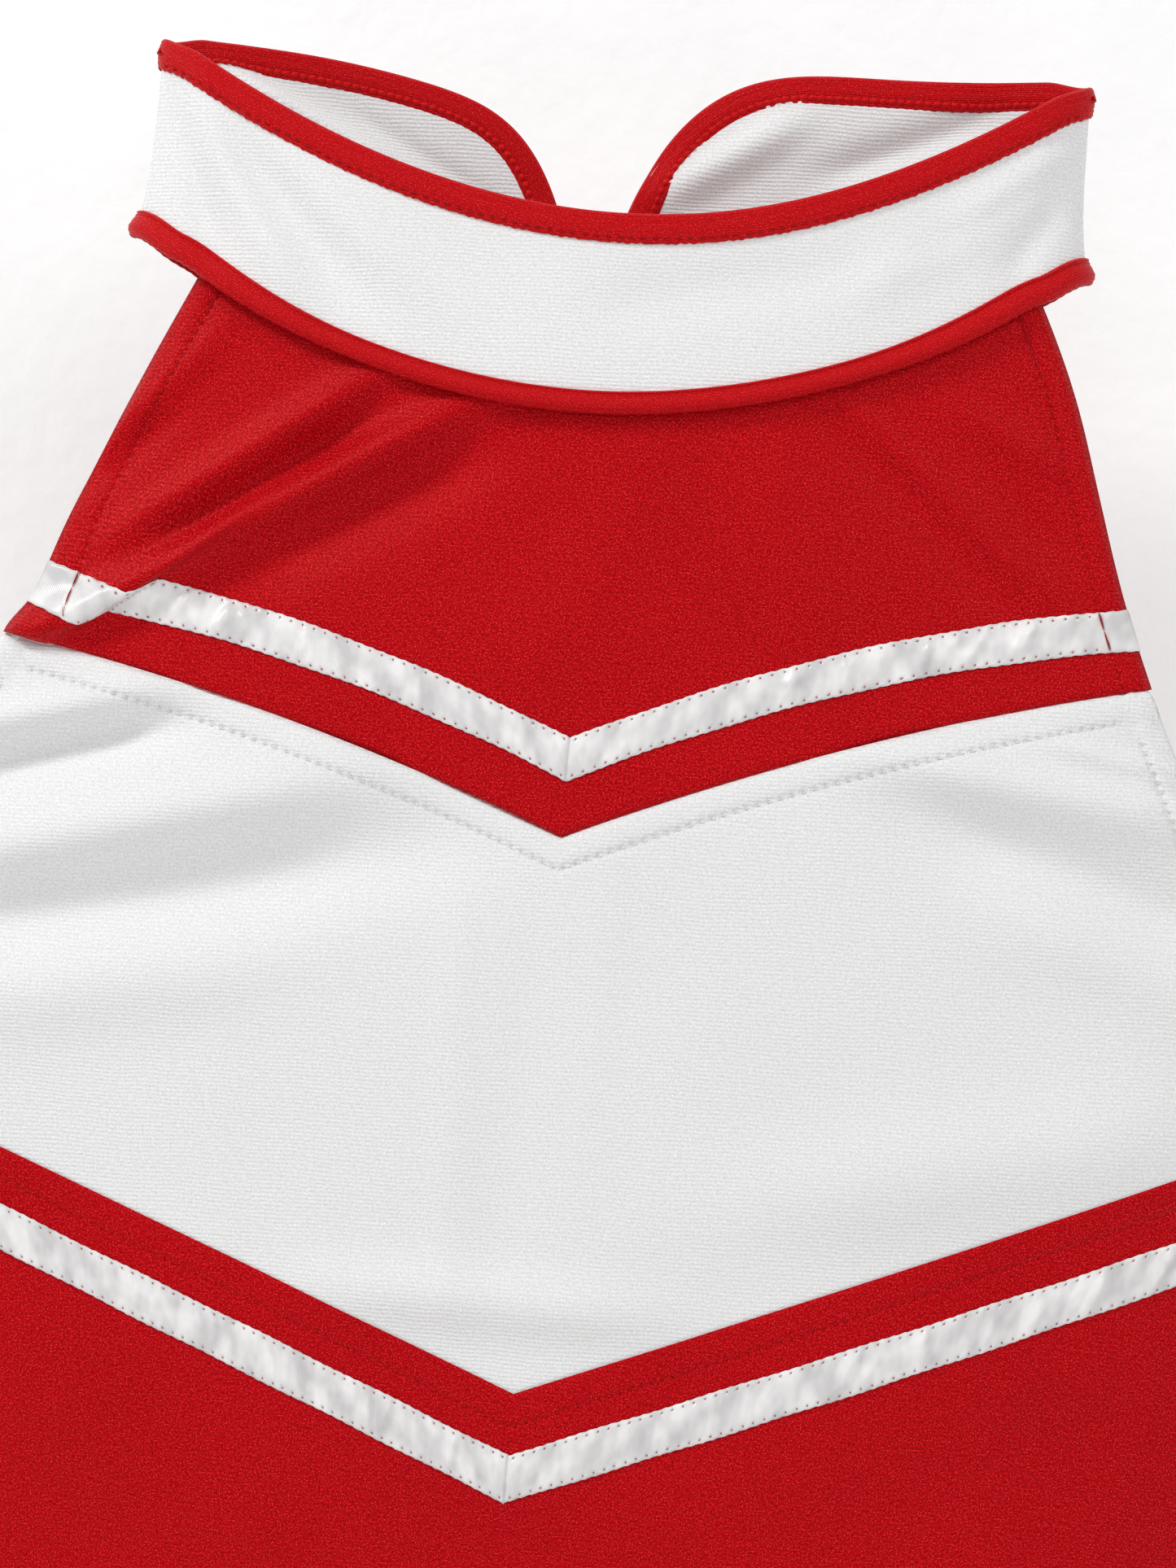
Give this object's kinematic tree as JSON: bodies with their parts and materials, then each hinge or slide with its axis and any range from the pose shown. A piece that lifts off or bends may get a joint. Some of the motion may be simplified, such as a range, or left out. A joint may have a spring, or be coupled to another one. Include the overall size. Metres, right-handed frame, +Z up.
{
  "type": "cheer uniform",
  "caption": "One-piece halter cheer uniform with a stand collar that opens at the nape, chevron bodice with satin ribbons, elastic waistband and flared skirt.",
  "frame": {"origin": "midway between the two side folds of the collar at the neckline, the points the uniform hangs from", "axes": "+Z up, -Y out of the wearer's front, +X towards the wearer's left side (the viewer's right)"},
  "size_m": [0.49, 0.124, 0.7204],
  "materials": {
    "white_knit": "fine-ribbed stretch knit with a slight sheen",
    "red_knit": "satin-faced stretch knit",
    "red_binding": "folded stretch binding with lengthwise ribs",
    "satin_ribbon": "white satin ribbon",
    "elastic": "woven elastic",
    "lining": "thin matte lining",
    "label": "woven satin label, blank",
    "hook_metal": "bright plated wire"
  },
  "bodies": {
    "root": {"collar_front": "white_knit", "collar_top_binding": "red_binding", "collar_bottom_binding": "red_binding", "yoke_front": "red_knit", "yoke_ribbon_left": "satin_ribbon", "yoke_ribbon_right": "satin_ribbon", "armhole_elastic_left": "elastic", "armhole_elastic_right": "elastic", "chest_panel": "white_knit", "chest_lining": "lining", "lower_panel_front": "red_knit", "lower_panel_back": "red_knit", "lower_ribbon_front_left": "satin_ribbon", "lower_ribbon_front_right": "satin_ribbon", "lower_ribbon_back_left": "satin_ribbon", "lower_ribbon_back_right": "satin_ribbon", "back_panel": "white_knit", "back_binding": "red_binding", "back_elastic": "elastic", "waistband": "red_knit", "waist_elastic": "elastic", "care_label": "label", "skirt_front": "red_knit", "skirt_back": "red_knit", "hem_ribbon_front": "satin_ribbon", "hem_ribbon_back": "satin_ribbon"},
    "collar_left_half": {"collar_back_left": "white_knit", "collar_back_left_top_binding": "red_binding", "collar_back_left_bottom_binding": "red_binding", "nape_hooks": "hook_metal"},
    "collar_right_half": {"collar_back_right": "white_knit", "collar_back_right_top_binding": "red_binding", "collar_back_right_bottom_binding": "red_binding", "nape_eyes": "hook_metal"}
  },
  "joints": [
    {"name": "collar_left_fold", "type": "hinge", "parent": "root", "child": "collar_left_half", "pos_m": [-0.1106, 0, -0.03], "axis": [0, 0, 1], "range_deg": [0, 150]},
    {"name": "collar_right_fold", "type": "hinge", "parent": "root", "child": "collar_right_half", "pos_m": [0.1106, 0, -0.03], "axis": [0, 0, -1], "range_deg": [0, 120]}
  ],
  "couplings": [
    {"joint": "collar_right_fold", "follows": "collar_left_fold", "ratio": 0.8}
  ]
}
